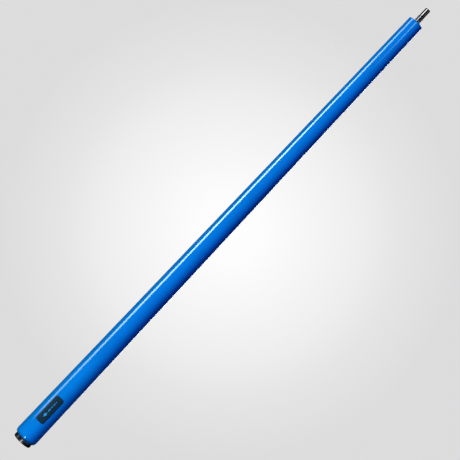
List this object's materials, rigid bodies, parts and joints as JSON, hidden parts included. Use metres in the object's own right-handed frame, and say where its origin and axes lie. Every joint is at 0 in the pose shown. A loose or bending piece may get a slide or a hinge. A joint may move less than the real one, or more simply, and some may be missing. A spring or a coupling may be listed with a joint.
{
  "type": "two-piece cue butt section",
  "caption": "Long tapered cue handle section in blue lacquer, with a quick-release joint pin at the narrow end and a screwed rubber bumper at the wide end.",
  "frame": {"origin": "centre of the bumper's foot, on the cue's axis", "axes": "+Z runs along the cue's axis from the bumper to the joint pin, and the label faces -Y"},
  "size_m": [0.0318, 0.0318, 0.7595],
  "materials": {
    "lacquered_wood": "gloss",
    "lacquered_resin": "gloss",
    "label_film": "satin",
    "brass": "machined",
    "polished_steel": "polished",
    "zinc_steel": "zinc plated",
    "black_plastic": "gloss",
    "black_rubber": "satin"
  },
  "bodies": {
    "root": {"forearm": "lacquered_wood", "handle": "lacquered_wood", "butt_sleeve": "lacquered_wood", "butt_cap": "lacquered_resin", "joint_collar": "lacquered_resin", "label": "label_film", "joint_insert": "brass", "joint_pin": "polished_steel", "middle_stud": "zinc_steel", "retainer_plug": "brass"},
    "bumper": {"bumper_base": "black_plastic", "bumper_gasket": "black_rubber", "bumper_pad": "black_rubber", "bumper_washer": "zinc_steel"},
    "screw": {"bumper_screw": "zinc_steel"},
    "weight": {"weight_bolt": "zinc_steel"}
  },
  "joints": [
    {"name": "bumper_slide", "type": "slide", "parent": "root", "child": "bumper", "axis": [0, 0, -1], "range_m": [0, 0.02]},
    {"name": "screw_turn", "type": "hinge", "parent": "bumper", "child": "screw", "pos_m": [0, 0, 0.001], "axis": [0, 0, -1], "range_deg": [0, 5669.4]},
    {"name": "weight_slide", "type": "slide", "parent": "root", "child": "weight", "axis": [0, 0, 1], "range_m": [-0.008, 0.034]}
  ],
  "couplings": [
    {"joint": "screw_turn", "follows": "bumper_slide", "rad_per_m": 4947.4}
  ]
}
